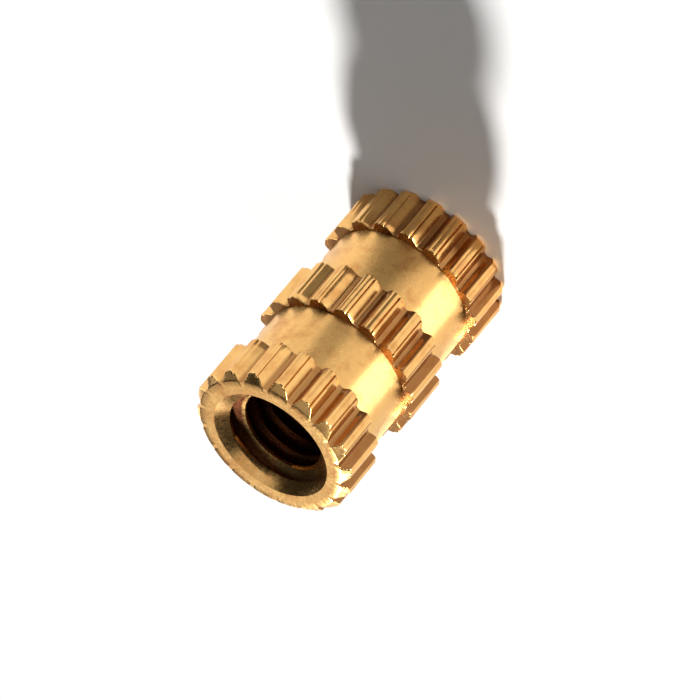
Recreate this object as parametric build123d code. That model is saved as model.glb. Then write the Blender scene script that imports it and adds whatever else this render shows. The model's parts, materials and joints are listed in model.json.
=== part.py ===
from build123d import *
import math
import os

# Straight-knurled brass threaded insert for plastic, M3 x 0.5, 8 mm long, 5 mm over the knurl.
# One turned piece: three knurled bands with two smooth necks between them and a bore right through.
# Millimetres. +Z is the axis of the bore, and the insert stands on its lower end on z = 0.

# Driving dimensions
LENGTH = 8.0                  # overall length along the bore
KNURL_DIAMETER = 5.0          # over the tips of the teeth
TOOTH_DEPTH = 0.27            # radial height of a tooth
TOOTH_COUNT = 18              # teeth round each band, in line from band to band
BAND_COUNT = 3
BAND_LENGTH = 1.5             # length of one knurled band
NECK_STEP = 0.08              # the smooth turned necks lie this much below the tooth roots
BORE_DIAMETER = 2.5           # over the crests of the M3 x 0.5 thread
MOUTH_CHAMFER = 0.55          # 45 degree countersink at each end, across and deep
TOP_CHAMFER_RADIAL = 0.25     # chamfer round the top end
TOP_CHAMFER_AXIAL = 0.2
BOTTOM_CHAMFER = 0.1          # lighter break at the lower end
TIP_SHARE = 0.34              # part of the tooth pitch taken by the flat tip
ROOT_SHARE = 0.16             # part of the tooth pitch taken by the flat root
TIP_CENTRE_SHARE = 0.62       # middle of the tip, counted anticlockwise from the root beside it

# Derived values
TIP_RADIUS = KNURL_DIAMETER / 2
ROOT_RADIUS = TIP_RADIUS - TOOTH_DEPTH
NECK_RADIUS = ROOT_RADIUS - NECK_STEP
BORE_RADIUS = BORE_DIAMETER / 2
MOUTH_RADIUS = BORE_RADIUS + MOUTH_CHAMFER
NECK_LENGTH = (LENGTH - BAND_COUNT * BAND_LENGTH) / (BAND_COUNT - 1)
PITCH_ANGLE = 2 * math.pi / TOOTH_COUNT


def at_angle(radius, angle):
    return (radius * math.cos(angle), radius * math.sin(angle))


def knurl_outline():
    """Corners of the knurl's cross-section: root, flank, tip and flank for each tooth."""
    corners = []
    for tooth in range(TOOTH_COUNT):
        root_middle = tooth * PITCH_ANGLE
        tip_middle = root_middle + TIP_CENTRE_SHARE * PITCH_ANGLE
        half_root = ROOT_SHARE * PITCH_ANGLE / 2
        half_tip = TIP_SHARE * PITCH_ANGLE / 2
        corners.append(at_angle(ROOT_RADIUS, root_middle - half_root))
        corners.append(at_angle(ROOT_RADIUS, root_middle + half_root))
        corners.append(at_angle(TIP_RADIUS, tip_middle - half_tip))
        corners.append(at_angle(TIP_RADIUS, tip_middle + half_tip))
    return corners


def envelope():
    """The turned outline that the knurl stays inside, with both end chamfers."""
    outline = Polyline(
        (0, 0),
        (TIP_RADIUS - BOTTOM_CHAMFER, 0),
        (TIP_RADIUS, BOTTOM_CHAMFER),
        (TIP_RADIUS, LENGTH - TOP_CHAMFER_AXIAL),
        (TIP_RADIUS - TOP_CHAMFER_RADIAL, LENGTH),
        (0, LENGTH),
        close=True,
    )
    return revolve(Plane.XZ * make_face(outline), axis=Axis.Z)


def bore():
    """The plain bore with a countersink at each end."""
    outline = Polyline(
        (0, 0),
        (MOUTH_RADIUS, 0),
        (BORE_RADIUS, MOUTH_CHAMFER),
        (BORE_RADIUS, LENGTH - MOUTH_CHAMFER),
        (MOUTH_RADIUS, LENGTH),
        (0, LENGTH),
        close=True,
    )
    return revolve(Plane.XZ * make_face(outline), axis=Axis.Z)


def insert():
    section = make_face(Polyline(*knurl_outline(), close=True))
    band = extrude(section, amount=BAND_LENGTH)
    body = Pos(0, 0, LENGTH / 2) * Cylinder(NECK_RADIUS, LENGTH)
    for number in range(BAND_COUNT):
        body += Pos(0, 0, number * (BAND_LENGTH + NECK_LENGTH)) * band
    body = body & envelope()
    return body - bore()


os.makedirs("parts", exist_ok=True)
export_step(insert(), "parts/insert.step")
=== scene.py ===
import json
import math

import bpy
from mathutils import Euler, Matrix, Vector


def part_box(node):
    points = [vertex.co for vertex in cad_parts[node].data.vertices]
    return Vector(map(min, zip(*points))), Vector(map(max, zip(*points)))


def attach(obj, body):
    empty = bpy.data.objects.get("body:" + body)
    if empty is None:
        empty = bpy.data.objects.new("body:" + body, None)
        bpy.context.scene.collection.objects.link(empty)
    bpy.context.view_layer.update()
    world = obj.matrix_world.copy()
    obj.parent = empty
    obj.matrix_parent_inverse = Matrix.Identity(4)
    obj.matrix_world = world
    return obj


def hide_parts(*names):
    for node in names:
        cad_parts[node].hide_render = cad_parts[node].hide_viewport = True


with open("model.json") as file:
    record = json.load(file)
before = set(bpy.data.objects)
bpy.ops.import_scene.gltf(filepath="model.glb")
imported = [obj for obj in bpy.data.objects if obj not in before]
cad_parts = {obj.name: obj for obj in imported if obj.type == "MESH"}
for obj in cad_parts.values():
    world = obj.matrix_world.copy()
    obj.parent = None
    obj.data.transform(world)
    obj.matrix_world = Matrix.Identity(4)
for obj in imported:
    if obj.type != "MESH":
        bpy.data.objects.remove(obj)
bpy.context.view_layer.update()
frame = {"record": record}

bl_info = {
    "name": "Knurled threaded insert",
    "version": (1, 0, 0),
    "blender": (4, 5, 0),
    "location": "View3D > Sidebar > Insert",
    "description": "Makes a straight-knurled brass threaded insert on a pale floor",
    "category": "Object",
}

MM = 0.001
CAD_LOW, CAD_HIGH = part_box("insert")
THREAD = next(m for m in frame["record"]["mounts"] if m["name"] == "thread")
TEETH = 18
BANDS = 3
COLUMNS_PER_TOOTH = 26


def linear(hex_colour):
    """An sRGB hex colour as the linear RGBA that Blender's sockets take."""
    parts = [int(hex_colour[i:i + 2], 16) / 255 for i in (1, 3, 5)]
    return (*[c / 12.92 if c <= 0.04045 else ((c + 0.055) / 1.055) ** 2.4 for c in parts], 1.0)


def add(tree, kind, sockets=None, **settings):
    """Adds one node, sets or links its sockets, and gives back its first output in use."""
    node = tree.nodes.new(kind)
    for name, value in settings.items():
        setattr(node, name, value)
    for key, value in (sockets or {}).items():
        socket = node.inputs[key] if isinstance(key, int) else next(
            s for s in node.inputs if s.name == key and s.enabled)
        if isinstance(value, bpy.types.NodeSocket):
            tree.links.new(value, socket)
        else:
            socket.default_value = value
    return next((s for s in node.outputs if s.enabled), node)


# ---------------------------------------------------------------- sizes and colours


class InsertSizes(bpy.types.PropertyGroup):
    length: bpy.props.FloatProperty(
        name="Length", description="Overall length along the bore",
        default=CAD_HIGH.z - CAD_LOW.z, unit="LENGTH", precision=5)
    tip_radius: bpy.props.FloatProperty(
        name="Tip radius", description="Radius over the knurl's teeth",
        default=2.5 * MM, unit="LENGTH", precision=5)
    tooth_depth: bpy.props.FloatProperty(
        name="Tooth depth", description="Radial height of a tooth",
        default=0.27 * MM, unit="LENGTH", precision=5)
    band_length: bpy.props.FloatProperty(
        name="Band length", description="Length of one knurled band",
        default=1.5 * MM, unit="LENGTH", precision=5)
    neck_step: bpy.props.FloatProperty(
        name="Neck step", description="How far the necks lie below the tooth roots",
        default=0.08 * MM, unit="LENGTH", precision=5)
    mouth_chamfer: bpy.props.FloatProperty(
        name="Mouth chamfer", description="45 degree countersink, across and deep",
        default=0.55 * MM, unit="LENGTH", precision=5)
    crest_radius: bpy.props.FloatProperty(
        name="Crest radius", description="Radius of the bore over the thread's crests",
        default=THREAD["dims"]["r_mm"] * MM, unit="LENGTH", precision=5)
    thread_radius: bpy.props.FloatProperty(
        name="Thread radius", description="Radius at the bottom of the thread's groove",
        default=1.56 * MM, unit="LENGTH", precision=5)
    thread_pitch: bpy.props.FloatProperty(
        name="Thread pitch", description="Distance from one turn to the next",
        default=0.5 * MM, unit="LENGTH", precision=5)
    thread_start: bpy.props.FloatProperty(
        name="Thread start", description="Height by which the whole thread is moved up",
        default=0.17 * MM, unit="LENGTH", precision=5)
    top_chamfer: bpy.props.FloatVectorProperty(
        name="Top chamfer", description="Chamfer round the top end, across and down",
        default=(0.25 * MM, 0.2 * MM), size=2, unit="LENGTH", precision=5)
    bottom_chamfer: bpy.props.FloatProperty(
        name="Bottom chamfer", description="Edge break round the lower end",
        default=0.1 * MM, unit="LENGTH", precision=5)
    edge_break: bpy.props.FloatProperty(
        name="Edge break", description="Rounding of the teeth's ends",
        default=0.018 * MM, unit="LENGTH", precision=5)


class InsertColours(bpy.types.PropertyGroup):
    brass: bpy.props.FloatVectorProperty(
        name="Brass", description="Clean cut brass", subtype="COLOR", size=4,
        default=linear("#F4C076"), min=0, max=1)
    tarnish: bpy.props.FloatVectorProperty(
        name="Tarnish", description="Brass that has browned in the air", subtype="COLOR", size=4,
        default=linear("#C97F42"), min=0, max=1)
    # painted shade and oxide: this brown paints the shade on the steep flanks of the teeth and on the faces
    # between bands and necks, and browns the roots of the teeth, partly oxide and partly painted shade
    oxide_and_painted_shade: bpy.props.FloatVectorProperty(
        name="Oxide", description="Brown oxide on the steep flanks and in the roots of the teeth",
        subtype="COLOR", size=4, default=linear("#7E4726"), min=0, max=1)
    # painted shade: this darker brass colours the deep bore and the thread's grooves, standing in for the shade
    # inside the bore
    thread: bpy.props.FloatVectorProperty(
        name="Thread", description="Brass darkened by old cutting oil in the thread",
        subtype="COLOR", size=4, default=linear("#7A4426"), min=0, max=1)
    floor: bpy.props.FloatVectorProperty(
        name="Floor", description="Pale floor", subtype="COLOR", size=4,
        default=linear("#F4F3F1"), min=0, max=1)


# ---------------------------------------------------------------- finishes


def new_material(name):
    material = bpy.data.materials.new(name)
    material.use_nodes = True
    material.node_tree.nodes.clear()
    return material, material.node_tree


def finish_brass(material, tree, colour, roughness, normal, rough_way, stretch):
    """Closes a brass finish; rough_way is the direction in which its fine marks scatter the light."""
    shader = add(tree, "ShaderNodeBsdfPrincipled", {
        "Base Color": colour, "Metallic": 1.0, "Roughness": roughness, "Normal": normal,
        "Anisotropic": stretch, "Tangent": rough_way})
    add(tree, "ShaderNodeOutputMaterial", {"Surface": shader})
    return material


def turned_brass(colours):
    """Free-cutting brass, turned on a lathe: the fine tool rings stretch each highlight along the axis."""
    material, tree = new_material("turned free-cutting brass")
    place = add(tree, "ShaderNodeTexCoord").node.outputs["Object"]
    facing = add(tree, "ShaderNodeNewGeometry").node.outputs["Normal"]
    height = add(tree, "ShaderNodeSeparateXYZ", {0: place}).node.outputs["Z"]
    across = add(tree, "ShaderNodeVectorMath", {0: place, 1: (1, 1, 0)}, operation="MULTIPLY")
    radius = add(tree, "ShaderNodeVectorMath", {0: across}, operation="LENGTH").node.outputs["Value"]
    around = add(tree, "ShaderNodeVectorMath", {0: (0, 0, 1), 1: across}, operation="CROSS_PRODUCT")
    across_rings = add(tree, "ShaderNodeVectorMath", {0: around, 1: facing}, operation="CROSS_PRODUCT")
    # rings 0.05 mm apart on the necks, and 0.05 mm apart across the end faces
    rings = add(tree, "ShaderNodeCombineXYZ", {0: height, 1: radius})
    ring_noise = add(tree, "ShaderNodeTexNoise", {
        "Vector": rings, "Scale": 1 / (0.05 * MM), "Detail": 2.0, "Roughness": 0.6})
    blotch = add(tree, "ShaderNodeTexNoise", {
        "Vector": place, "Scale": 1 / (0.7 * MM), "Detail": 3.0, "Roughness": 0.6})
    grain = add(tree, "ShaderNodeTexNoise", {
        "Vector": place, "Scale": 1 / (0.09 * MM), "Detail": 2.0, "Roughness": 0.7})
    share = add(tree, "ShaderNodeMapRange", {0: blotch, 1: 0.52, 2: 0.75, 3: 0.0, 4: 0.7})
    colour = add(tree, "ShaderNodeMix", {
        "Factor": share, "A": colours.brass, "B": colours.tarnish}, data_type="RGBA")
    roughness = add(tree, "ShaderNodeMapRange", {0: grain, 1: 0.3, 2: 0.7, 3: 0.26, 4: 0.32})
    ring_bump = add(tree, "ShaderNodeBump", {
        "Strength": 0.25, "Distance": 0.003 * MM, "Height": ring_noise})
    bump = add(tree, "ShaderNodeBump", {
        "Strength": 0.2, "Distance": 0.004 * MM, "Height": grain, "Normal": ring_bump})
    return finish_brass(material, tree, colour, roughness, bump, across_rings, 0.95)


def knurled_brass(colours):
    """Free-cutting brass, straight-knurled by rolling: burnished lines run along the teeth."""
    material, tree = new_material("knurled free-cutting brass")
    place = add(tree, "ShaderNodeTexCoord").node.outputs["Object"]
    height = add(tree, "ShaderNodeSeparateXYZ", {0: place}).node.outputs["Z"]
    across = add(tree, "ShaderNodeVectorMath", {0: place, 1: (1, 1, 0)}, operation="MULTIPLY")
    outward = add(tree, "ShaderNodeVectorMath", {0: across}, operation="NORMALIZE")
    round_axis = add(tree, "ShaderNodeVectorMath", {0: outward, "Scale": 2.4 * MM}, operation="SCALE")
    slow_height = add(tree, "ShaderNodeMath", {0: height, 1: 0.035}, operation="MULTIPLY")
    rise = add(tree, "ShaderNodeCombineXYZ", {2: slow_height})
    along = add(tree, "ShaderNodeVectorMath", {0: round_axis, 1: rise}, operation="ADD")
    # lines 0.09 mm apart, each about a band long
    lines = add(tree, "ShaderNodeTexNoise", {
        "Vector": along, "Scale": 1 / (0.09 * MM), "Detail": 2.0, "Roughness": 0.6})
    grain = add(tree, "ShaderNodeTexNoise", {
        "Vector": place, "Scale": 1 / (0.12 * MM), "Detail": 3.0, "Roughness": 0.65})
    blotch = add(tree, "ShaderNodeTexNoise", {
        "Vector": place, "Scale": 1 / (0.5 * MM), "Detail": 3.0, "Roughness": 0.6})
    facing = add(tree, "ShaderNodeNewGeometry").node.outputs["Normal"]
    share = add(tree, "ShaderNodeMapRange", {0: blotch, 1: 0.45, 2: 0.75, 3: 0.0, 4: 0.6})
    crown = add(tree, "ShaderNodeMix", {
        "Factor": share, "A": colours.brass, "B": colours.tarnish}, data_type="RGBA")
    # painted shade: the steep flanks, which all face the same way round the axis, are coloured dark brown for the
    # shade they lie in; the roots are browned too, partly oxide and partly painted shade
    around = add(tree, "ShaderNodeVectorMath", {0: (0, 0, 1), 1: outward}, operation="CROSS_PRODUCT")
    steep = add(tree, "ShaderNodeVectorMath", {
        0: around, 1: facing}, operation="DOT_PRODUCT").node.outputs["Value"]
    painted_flank_shade = add(tree, "ShaderNodeMapRange", {0: steep, 1: 0.35, 2: 0.7, 3: 0.0, 4: 0.8})
    radius = add(tree, "ShaderNodeVectorMath", {0: across}, operation="LENGTH").node.outputs["Value"]
    in_root = add(tree, "ShaderNodeMapRange", {0: radius, 1: 2.29 * MM, 2: 2.22 * MM, 3: 0.0, 4: 0.8})
    oxide_and_painted_shade = add(tree, "ShaderNodeMath", {0: painted_flank_shade, 1: in_root}, operation="MAXIMUM")
    colour = add(tree, "ShaderNodeMix", {
        "Factor": oxide_and_painted_shade, "A": crown, "B": colours.oxide_and_painted_shade}, data_type="RGBA")
    roughness = add(tree, "ShaderNodeMapRange", {0: grain, 1: 0.3, 2: 0.7, 3: 0.16, 4: 0.26})
    line_bump = add(tree, "ShaderNodeBump", {
        "Strength": 0.35, "Distance": 0.008 * MM, "Height": lines})
    bump = add(tree, "ShaderNodeBump", {
        "Strength": 0.12, "Distance": 0.006 * MM, "Height": grain, "Normal": line_bump})
    across_lines = add(tree, "ShaderNodeVectorMath", {0: (0, 0, 1), 1: facing}, operation="CROSS_PRODUCT")
    return finish_brass(material, tree, colour, roughness, bump, across_lines, 0.4)


def tapped_brass(size, colours):
    """Free-cutting brass, faced, countersunk and tapped: torn grain where the cutters went in."""
    crest = size.crest_radius
    mouth = crest + size.mouth_chamfer
    material, tree = new_material("faced and tapped brass")
    place = add(tree, "ShaderNodeTexCoord").node.outputs["Object"]
    tear = add(tree, "ShaderNodeTexNoise", {
        "Vector": place, "Scale": 1 / (0.11 * MM), "Detail": 4.0, "Roughness": 0.7})
    patch = add(tree, "ShaderNodeTexNoise", {
        "Vector": place, "Scale": 1 / (0.6 * MM), "Detail": 2.0, "Roughness": 0.5})
    height = add(tree, "ShaderNodeSeparateXYZ", {0: place}).node.outputs["Z"]
    from_middle = add(tree, "ShaderNodeMath", {0: height, 1: (CAD_LOW.z + CAD_HIGH.z) / 2}, operation="SUBTRACT")
    off_middle = add(tree, "ShaderNodeMath", {0: from_middle}, operation="ABSOLUTE")
    share = add(tree, "ShaderNodeMapRange", {0: patch, 1: 0.4, 2: 0.7, 3: 0.0, 4: 0.5})
    sink_colour = add(tree, "ShaderNodeMix", {
        "Factor": share, "A": colours.brass, "B": colours.tarnish}, data_type="RGBA")
    across = add(tree, "ShaderNodeVectorMath", {0: place, 1: (1, 1, 0)}, operation="MULTIPLY")
    radius = add(tree, "ShaderNodeVectorMath", {0: across}, operation="LENGTH").node.outputs["Value"]
    # painted shade: deep in the bore, away from both ends, and down in the thread's grooves, the bore takes the
    # darker thread colour
    deep = add(tree, "ShaderNodeMapRange", {0: off_middle, 1: 3.15 * MM, 2: 2.95 * MM})
    inner = add(tree, "ShaderNodeMapRange", {0: radius, 1: 1.7 * MM, 2: 1.6 * MM})
    from_end = add(tree, "ShaderNodeMath", {
        0: (CAD_HIGH.z - CAD_LOW.z) / 2, 1: off_middle}, operation="SUBTRACT")
    cone = add(tree, "ShaderNodeMath", {0: mouth, 1: from_end}, operation="SUBTRACT")
    uncut = add(tree, "ShaderNodeMath", {0: cone, 1: crest}, operation="MAXIMUM")
    below = add(tree, "ShaderNodeMath", {0: radius, 1: uncut}, operation="SUBTRACT")
    in_groove = add(tree, "ShaderNodeMapRange", {0: below, 1: 0.02 * MM, 2: 0.1 * MM})
    dark = add(tree, "ShaderNodeMath", {0: deep, 1: in_groove}, operation="MAXIMUM")
    painted_bore_shade = add(tree, "ShaderNodeMath", {0: dark, 1: inner}, operation="MULTIPLY")
    bore_colour = add(tree, "ShaderNodeMix", {
        "Factor": painted_bore_shade, "A": sink_colour, "B": colours.thread}, data_type="RGBA")
    # painted shade: the faces between a band and a neck are coloured brown for the shade they lie in
    off_end = add(tree, "ShaderNodeMapRange", {0: off_middle, 1: 3.98 * MM, 2: 3.9 * MM})
    outer = add(tree, "ShaderNodeMapRange", {0: radius, 1: 1.9 * MM, 2: 2.0 * MM, 3: 0.0, 4: 0.7})
    painted_ledge_shade = add(tree, "ShaderNodeMath", {0: off_end, 1: outer}, operation="MULTIPLY")
    colour = add(tree, "ShaderNodeMix", {
        "Factor": painted_ledge_shade, "A": bore_colour, "B": colours.oxide_and_painted_shade}, data_type="RGBA")
    roughness = add(tree, "ShaderNodeMapRange", {0: tear, 1: 0.3, 2: 0.7, 3: 0.2, 4: 0.34})
    bump = add(tree, "ShaderNodeBump", {
        "Strength": 0.3, "Distance": 0.014 * MM, "Height": tear})
    shader = add(tree, "ShaderNodeBsdfPrincipled", {
        "Base Color": colour, "Metallic": 1.0, "Roughness": roughness, "Normal": bump})
    add(tree, "ShaderNodeOutputMaterial", {"Surface": shader})
    return material


# ---------------------------------------------------------------- the insert


def outer_stations(size):
    """Stations of the turned outline, from the upper mouth round the outside to the lower mouth.

    Each is its radius, how far the teeth are drawn in there, and its height.
    """
    tip = size.tip_radius
    edge = size.edge_break
    neck = tip - size.tooth_depth - size.neck_step
    mouth = size.crest_radius + size.mouth_chamfer
    across, down = size.top_chamfer
    low = size.bottom_chamfer
    length = size.length
    spacing = (length - size.band_length) / (BANDS - 1)
    stations = [
        (mouth, 0, length),
        ((mouth + tip - across) / 2, 0, length),
        (tip - across - edge, 0, length),
    ]
    stations += [(tip - across * (1 - share), 0, length - down * share)
                 for share in (0.08, 0.2, 0.35, 0.5, 0.65, 0.8, 0.92)]
    for band in range(BANDS):
        high_end = length - band * spacing
        low_end = high_end - size.band_length
        first, last = band == 0, band == BANDS - 1
        start = high_end - (down + edge if first else edge)
        stop = low_end + (low + edge if last else edge)
        if not first:
            stations += [(neck, 0, high_end), (tip, edge, high_end)]
        stations += [(tip, 0, start + (stop - start) * step / 6) for step in range(7)]
        if not last:
            stations += [(tip, edge, low_end), (neck, 0, low_end)]
            neck_end = low_end - (spacing - size.band_length)
            stations += [(neck, 0, low_end + (neck_end - low_end) * step / 6) for step in range(1, 6)]
    stations += [
        (tip - 0.4 * edge, 0, low),
        (tip - low, edge, 0.6 * edge),
        (tip - low - edge, edge, 0),
        ((mouth + tip - low) / 2, 0, 0),
        (mouth, 0, 0),
    ]
    return stations


def thread_section(size):
    """One pitch of the 60 degree thread: each point's radius and its height as a share of the pitch."""
    crest, groove = size.crest_radius, size.thread_radius
    soft = 0.12 * (groove - crest)
    shares = (
        (crest, 0.03), (crest, 0.22), (crest + soft, 0.27), (groove - soft, 0.55),
        (groove, 0.60), (groove, 0.65), (groove - soft, 0.70), (crest + soft, 0.98),
    )
    return [(radius, 0, share) for radius, share in shares]


def tooth_curve(tree, along):
    """Height of a tooth, from 0 at its root to 1 at its tip, along one tooth pitch."""
    height = add(tree, "ShaderNodeFloatCurve", {"Value": along})
    curve = height.node.mapping.curves[0]
    outline = ((0.0, 0.0), (0.09, 0.0), (0.12, 0.06), (0.34, 0.76), (0.38, 0.80), (0.42, 0.66),
               (0.47, 0.95), (0.52, 1.0), (0.60, 0.98), (0.64, 0.84), (0.68, 0.92), (0.74, 0.90),
               (0.78, 0.80), (0.89, 0.06), (0.92, 0.0), (1.0, 0.0))
    curve.points[0].location = outline[0]
    curve.points[1].location = outline[-1]
    for place in outline[1:-1]:
        curve.points.new(*place)
    for point in curve.points:
        point.handle_type = "VECTOR"
    height.node.mapping.update()
    return height


def insert_tree(materials):
    """Geometry nodes that sweep the two outlines: one tooth sector repeated round the axis, and the thread."""
    tree = bpy.data.node_groups.new("Knurled insert", "GeometryNodeTree")
    tree.is_modifier = True
    face = tree.interface
    face.new_socket("Geometry", in_out="INPUT", socket_type="NodeSocketGeometry")
    for name, kind in (
            ("Teeth", "Int"), ("Columns", "Int"), ("Stations", "Int"), ("Thread points", "Int"),
            ("Turns", "Int"), ("Length", "Float"), ("Tip radius", "Float"), ("Root radius", "Float"),
            ("Mouth radius", "Float"), ("Pitch", "Float"), ("Start", "Float"), ("Seed", "Float")):
        face.new_socket(name, in_out="INPUT", socket_type="NodeSocket" + kind)
    face.new_socket("Geometry", in_out="OUTPUT", socket_type="NodeSocketGeometry")
    given = add(tree, "NodeGroupInput").node.outputs
    outline = given["Geometry"]
    here = add(tree, "GeometryNodeInputPosition")
    index = add(tree, "GeometryNodeInputIndex")

    # one tooth sector: a row for each station, a column for each step round the tooth
    per_row = add(tree, "ShaderNodeMath", {0: given["Columns"], 1: 1.0}, operation="ADD")
    sector = add(tree, "GeometryNodeMeshGrid", {
        "Vertices X": given["Stations"], "Vertices Y": per_row})
    ratio = add(tree, "ShaderNodeMath", {0: index, 1: per_row}, operation="DIVIDE")
    row = add(tree, "ShaderNodeMath", {0: ratio}, operation="FLOOR")
    row_start = add(tree, "ShaderNodeMath", {0: row, 1: per_row}, operation="MULTIPLY")
    column = add(tree, "ShaderNodeMath", {0: index, 1: row_start}, operation="SUBTRACT")
    along = add(tree, "ShaderNodeMath", {0: column, 1: given["Columns"]}, operation="DIVIDE")
    station = add(tree, "GeometryNodeSampleIndex", {
        "Geometry": outline, "Value": here, "Index": row}, data_type="FLOAT_VECTOR")
    turned = add(tree, "ShaderNodeSeparateXYZ", {0: station}).node.outputs
    tooth = tooth_curve(tree, along)
    knurl = add(tree, "ShaderNodeMapRange", {
        0: tooth, 3: given["Root radius"], 4: given["Tip radius"]})
    drawn = add(tree, "ShaderNodeMath", {0: knurl, 1: turned["Y"]}, operation="SUBTRACT")
    radius = add(tree, "ShaderNodeMath", {0: turned["X"], 1: drawn}, operation="MINIMUM")
    step = add(tree, "ShaderNodeMath", {0: math.tau, 1: given["Teeth"]}, operation="DIVIDE")
    angle = add(tree, "ShaderNodeMath", {0: along, 1: step}, operation="MULTIPLY")
    outward = add(tree, "ShaderNodeCombineXYZ", {0: radius, 2: turned["Z"]})
    placed = add(tree, "ShaderNodeVectorRotate", {
        "Vector": outward, "Angle": angle}, rotation_type="Z_AXIS")
    tooth_sector = add(tree, "GeometryNodeSetPosition", {"Geometry": sector, "Position": placed})

    # the sector repeated round the axis
    places = add(tree, "GeometryNodePoints", {"Count": given["Teeth"]})
    turn = add(tree, "ShaderNodeMath", {0: index, 1: step}, operation="MULTIPLY")
    turn_round = add(tree, "ShaderNodeCombineXYZ", {2: turn})
    ring = add(tree, "GeometryNodeInstanceOnPoints", {
        "Points": places, "Instance": tooth_sector, "Rotation": turn_round})
    outside = add(tree, "GeometryNodeRealizeInstances", {"Geometry": ring})

    # the bore: rows follow the helix, cut off at both ends and by both countersinks
    round_columns = add(tree, "ShaderNodeMath", {
        0: given["Teeth"], 1: given["Columns"]}, operation="MULTIPLY")
    bore_row = add(tree, "ShaderNodeMath", {0: round_columns, 1: 1.0}, operation="ADD")
    bore_rows = add(tree, "ShaderNodeMath", {
        0: given["Turns"], 1: given["Thread points"]}, operation="MULTIPLY")
    sheet = add(tree, "GeometryNodeMeshGrid", {"Vertices X": bore_rows, "Vertices Y": bore_row})
    b_ratio = add(tree, "ShaderNodeMath", {0: index, 1: bore_row}, operation="DIVIDE")
    b_row = add(tree, "ShaderNodeMath", {0: b_ratio}, operation="FLOOR")
    b_start = add(tree, "ShaderNodeMath", {0: b_row, 1: bore_row}, operation="MULTIPLY")
    b_column = add(tree, "ShaderNodeMath", {0: index, 1: b_start}, operation="SUBTRACT")
    b_along = add(tree, "ShaderNodeMath", {0: b_column, 1: round_columns}, operation="DIVIDE")
    b_turns = add(tree, "ShaderNodeMath", {0: b_row, 1: given["Thread points"]}, operation="DIVIDE")
    b_turn = add(tree, "ShaderNodeMath", {0: b_turns}, operation="FLOOR")
    b_skip = add(tree, "ShaderNodeMath", {0: b_turn, 1: given["Thread points"]}, operation="MULTIPLY")
    b_point = add(tree, "ShaderNodeMath", {0: b_row, 1: b_skip}, operation="SUBTRACT")
    b_index = add(tree, "ShaderNodeMath", {0: b_point, 1: given["Stations"]}, operation="ADD")
    b_station = add(tree, "GeometryNodeSampleIndex", {
        "Geometry": outline, "Value": here, "Index": b_index}, data_type="FLOAT_VECTOR")
    b_profile = add(tree, "ShaderNodeSeparateXYZ", {0: b_station}).node.outputs
    b_share = add(tree, "ShaderNodeMath", {0: b_turn, 1: b_profile["Z"]}, operation="ADD")
    b_climb = add(tree, "ShaderNodeMath", {0: b_share, 1: b_along}, operation="ADD")
    b_below = add(tree, "ShaderNodeMath", {0: b_climb, 1: 2.0}, operation="SUBTRACT")
    b_height = add(tree, "ShaderNodeMath", {
        0: b_below, 1: given["Pitch"], 2: given["Start"]}, operation="MULTIPLY_ADD")
    b_cut = add(tree, "ShaderNodeClamp", {0: b_height, 1: 0.0, 2: given["Length"]})
    from_top = add(tree, "ShaderNodeMath", {0: given["Length"], 1: b_cut}, operation="SUBTRACT")
    from_end = add(tree, "ShaderNodeMath", {0: from_top, 1: b_cut}, operation="MINIMUM")
    cone = add(tree, "ShaderNodeMath", {0: given["Mouth radius"], 1: from_end}, operation="SUBTRACT")
    b_radius = add(tree, "ShaderNodeMath", {0: b_profile["X"], 1: cone}, operation="MAXIMUM")
    b_angle = add(tree, "ShaderNodeMath", {0: b_along, 1: math.tau}, operation="MULTIPLY")
    b_outward = add(tree, "ShaderNodeCombineXYZ", {0: b_radius, 2: b_cut})
    b_placed = add(tree, "ShaderNodeVectorRotate", {
        "Vector": b_outward, "Angle": b_angle}, rotation_type="Z_AXIS")
    inside = add(tree, "GeometryNodeSetPosition", {"Geometry": sheet, "Position": b_placed})

    # both skins joined into one closed solid
    joined = add(tree, "GeometryNodeJoinGeometry", {"Geometry": outside})
    tree.links.new(inside, joined.node.inputs["Geometry"])
    closed = add(tree, "GeometryNodeMergeByDistance", {"Geometry": joined, "Distance": 0.0008 * MM})

    # the knurl's small unevenness: no two teeth are rolled quite alike
    flat = add(tree, "ShaderNodeVectorMath", {0: here, 1: (1, 1, 0)}, operation="MULTIPLY")
    from_axis = add(tree, "ShaderNodeVectorMath", {0: flat}, operation="LENGTH").node.outputs["Value"]
    direction = add(tree, "ShaderNodeVectorMath", {0: flat}, operation="NORMALIZE")
    on_band = add(tree, "ShaderNodeMapRange", {
        0: from_axis, 1: given["Root radius"], 2: given["Tip radius"], 3: 0.0, 4: 1.0})
    shifted = add(tree, "ShaderNodeVectorMath", {0: here, 1: given["Seed"]}, operation="ADD")
    dents = add(tree, "ShaderNodeTexNoise", {
        "Vector": shifted, "Scale": 1 / (0.45 * MM), "Detail": 3.0, "Roughness": 0.65})
    stretched = add(tree, "ShaderNodeVectorMath", {0: shifted, 1: (1, 1, 0.12)}, operation="MULTIPLY")
    ribs = add(tree, "ShaderNodeTexNoise", {
        "Vector": stretched, "Scale": 1 / (0.16 * MM), "Detail": 1.0})
    dent = add(tree, "ShaderNodeMapRange", {0: dents, 1: 0.35, 2: 0.75, 3: 0.0, 4: -0.012 * MM})
    rib = add(tree, "ShaderNodeMapRange", {0: ribs, 1: 0.3, 2: 0.7, 3: 0.0, 4: -0.012 * MM})
    both = add(tree, "ShaderNodeMath", {0: dent, 1: rib}, operation="ADD")
    amount = add(tree, "ShaderNodeMath", {0: both, 1: on_band}, operation="MULTIPLY")
    offset = add(tree, "ShaderNodeVectorMath", {0: direction, "Scale": amount}, operation="SCALE")
    worn = add(tree, "GeometryNodeSetPosition", {"Geometry": closed, "Offset": offset})

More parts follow.
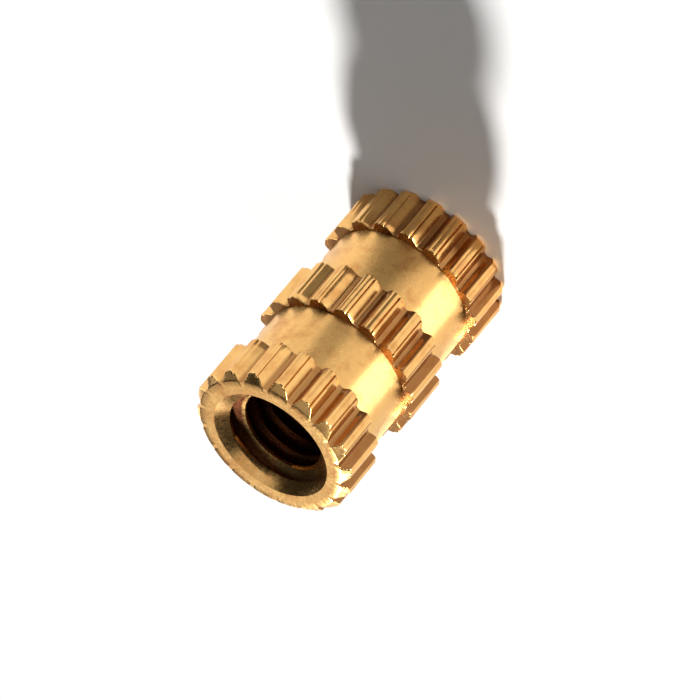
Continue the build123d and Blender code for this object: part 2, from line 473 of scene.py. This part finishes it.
    # finishes: the teeth, the bore, and everything else turned
    almost_root = add(tree, "ShaderNodeMath", {
        0: given["Root radius"], 1: 0.03 * MM}, operation="SUBTRACT")
    beyond = add(tree, "FunctionNodeCompare", {"A": from_axis, "B": almost_root}, operation="GREATER_THAN")
    normal = add(tree, "GeometryNodeInputNormal")
    facing = add(tree, "ShaderNodeSeparateXYZ", {0: normal}).node.outputs["Z"]
    tilt = add(tree, "ShaderNodeMath", {0: facing}, operation="ABSOLUTE")
    upright = add(tree, "FunctionNodeCompare", {"A": tilt, "B": 0.5}, operation="LESS_THAN")
    knurled = add(tree, "FunctionNodeBooleanMath", {0: upright, 1: beyond}, operation="AND")
    level = add(tree, "FunctionNodeCompare", {"A": tilt, "B": 0.9}, operation="GREATER_THAN")
    bored = add(tree, "FunctionNodeCompare", {
        "A": from_axis, "B": given["Mouth radius"]}, operation="LESS_THAN")
    tooled = add(tree, "FunctionNodeBooleanMath", {0: level, 1: bored}, operation="OR")
    shape = add(tree, "GeometryNodeSetMaterial", {"Geometry": worn, "Material": materials["turned"]})
    shape = add(tree, "GeometryNodeSetMaterial", {
        "Geometry": shape, "Selection": knurled, "Material": materials["knurled"]})
    shape = add(tree, "GeometryNodeSetMaterial", {
        "Geometry": shape, "Selection": tooled, "Material": materials["tapped"]})
    add(tree, "NodeGroupOutput", {"Geometry": shape})
    return tree


def build_insert(size, colours):
    stations = outer_stations(size)
    thread = thread_section(size)
    mesh = bpy.data.meshes.new("insert outlines")
    mesh.from_pydata(stations + thread, [], [])
    outlines = bpy.data.objects.new("insert outlines", mesh)
    bpy.context.scene.collection.objects.link(outlines)
    materials = {
        "turned": turned_brass(colours), "knurled": knurled_brass(colours), "tapped": tapped_brass(size, colours)}
    tree = insert_tree(materials)
    sizes = {
        "Teeth": TEETH, "Columns": COLUMNS_PER_TOOTH, "Stations": len(stations),
        "Thread points": len(thread), "Turns": math.ceil(size.length / size.thread_pitch) + 3,
        "Length": size.length, "Tip radius": size.tip_radius,
        "Root radius": size.tip_radius - size.tooth_depth,
        "Mouth radius": size.crest_radius + size.mouth_chamfer,
        "Pitch": size.thread_pitch, "Start": size.thread_start, "Seed": 0.11,
    }
    modifier = outlines.modifiers.new("Knurled insert", "NODES")
    modifier.node_group = tree
    for socket in tree.interface.items_tree:
        if socket.item_type == "SOCKET" and socket.in_out == "INPUT" and socket.name in sizes:
            modifier[socket.identifier] = sizes[socket.name]
    view_layer = bpy.context.evaluated_depsgraph_get()
    body_mesh = bpy.data.meshes.new_from_object(outlines.evaluated_get(view_layer))
    bpy.data.objects.remove(outlines)
    body_mesh.name = "threaded_insert"
    body = bpy.data.objects.new("threaded_insert", body_mesh)
    bpy.context.scene.collection.objects.link(body)
    body_mesh.materials.pop(index=0)
    body_mesh.shade_smooth()
    body_mesh.set_sharp_from_angle(angle=math.radians(38))
    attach(body, "root")
    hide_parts("insert")
    return body


# ---------------------------------------------------------------- the stage


def pale_floor(colours):
    """Matt painted board: even and pale, so the brass shows its own reflections."""
    material, tree = new_material("matt pale floor")
    shader = add(tree, "ShaderNodeBsdfDiffuse", {"Color": colours.floor})
    add(tree, "ShaderNodeOutputMaterial", {"Surface": shader})
    return material


def add_lamp(name, azimuth, elevation, distance, size, power, target):
    """A lamp that faces the insert's middle: a soft panel, or even light from far off if it has no size."""
    lamp = bpy.data.lights.new(name, "AREA" if size else "SUN")
    if size:
        lamp.shape = "RECTANGLE"
        lamp.size, lamp.size_y = size
    else:
        lamp.angle = math.radians(7)
    lamp.energy = power
    item = bpy.data.objects.new(name, lamp)
    out = Vector((math.cos(elevation) * math.cos(azimuth), math.cos(elevation) * math.sin(azimuth),
                  math.sin(elevation)))
    item.location = target + distance * out
    item.rotation_euler = (-out).to_track_quat("-Z", "Y").to_euler()
    bpy.context.scene.collection.objects.link(item)


def build_stage(size, colours):
    scene = bpy.context.scene
    scene.view_settings.view_transform = "Standard"
    middle = Vector((0, 0, size.length / 2))
    half = 1.5
    floor_mesh = bpy.data.meshes.new("floor")
    floor_mesh.from_pydata(
        [(-half, -half, 0), (half, -half, 0), (half, half, 0), (-half, half, 0)], [], [(0, 1, 2, 3)])
    floor_mesh.transform(Matrix.Translation((0, 0, -0.01 * MM)))
    floor_mesh.materials.append(pale_floor(colours))
    floor = bpy.data.objects.new("floor", floor_mesh)
    scene.collection.objects.link(floor)

    world = bpy.data.worlds.new("studio")
    world.use_nodes = True
    world.node_tree.nodes.clear()
    glow = add(world.node_tree, "ShaderNodeBackground", {"Color": linear("#FFFFFF"), "Strength": 0.02})
    add(world.node_tree, "ShaderNodeOutputWorld", {"Surface": glow})
    scene.world = world

    front = math.radians(-88.33)
    for name, azimuth, elevation, distance, shape, power in (
            ("back key", 298, 38, 0.45, None, 4.9),
            ("side softbox", 34, 1.6, 0.35, (0.28, 0.018), 2.1),
            ("side card", 195, 2.5, 0.35, (0.4, 0.03), 0.3),
            ("back panel", 268, 34, 0.5, (0.3, 0.22), 0.13),
            ("front panel", 100, 60, 0.5, (0.6, 0.24), 0.36),
            ("back card", 302, 8, 0.35, (0.3, 0.08), 0.14)):
        add_lamp(name, front + math.radians(azimuth - 90), math.radians(elevation), distance, shape, power, middle)

    camera = bpy.data.cameras.new("camera")
    camera.sensor_width = 36
    camera.lens = 306.9
    camera.clip_start = 0.01
    camera.clip_end = 20
    item = bpy.data.objects.new("camera", camera)
    elevation = math.radians(33.56)
    towards = Vector((math.cos(elevation) * math.cos(front), math.cos(elevation) * math.sin(front),
                      math.sin(elevation)))
    level = (-towards).to_track_quat("-Z", "Y").to_matrix().to_4x4()
    roll = Matrix.Rotation(math.radians(-140.16), 4, "Z")
    item.matrix_world = Matrix.Translation(middle + 0.1621 * towards) @ level @ roll
    scene.collection.objects.link(item)
    scene.camera = item


# ---------------------------------------------------------------- operators and panel


class INSERT_OT_body(bpy.types.Operator):
    """Make the brass insert with its knurl, necks and thread"""
    bl_idname = "insert.body"
    bl_label = "Make insert"

    def execute(self, context):
        build_insert(context.scene.insert_sizes, context.scene.insert_colours)
        return {"FINISHED"}


class INSERT_OT_stage(bpy.types.Operator):
    """Make the floor, the lamps and the camera"""
    bl_idname = "insert.stage"
    bl_label = "Make stage"

    def execute(self, context):
        build_stage(context.scene.insert_sizes, context.scene.insert_colours)
        return {"FINISHED"}


class INSERT_PT_panel(bpy.types.Panel):
    bl_label = "Threaded insert"
    bl_idname = "INSERT_PT_panel"
    bl_space_type = "VIEW_3D"
    bl_region_type = "UI"
    bl_category = "Insert"

    def draw(self, context):
        for group in (context.scene.insert_sizes, context.scene.insert_colours):
            for name in group.__annotations__:
                self.layout.prop(group, name)
        for operator in (INSERT_OT_body, INSERT_OT_stage):
            self.layout.operator(operator.bl_idname)


CLASSES = (InsertSizes, InsertColours, INSERT_OT_body, INSERT_OT_stage, INSERT_PT_panel)


def register():
    for item in CLASSES:
        bpy.utils.register_class(item)
    bpy.types.Scene.insert_sizes = bpy.props.PointerProperty(type=InsertSizes)
    bpy.types.Scene.insert_colours = bpy.props.PointerProperty(type=InsertColours)


def unregister():
    del bpy.types.Scene.insert_colours
    del bpy.types.Scene.insert_sizes
    for item in reversed(CLASSES):
        bpy.utils.unregister_class(item)


def main():
    register()
    bpy.ops.insert.body()
    bpy.ops.insert.stage()


if __name__ == "__main__":
    main()
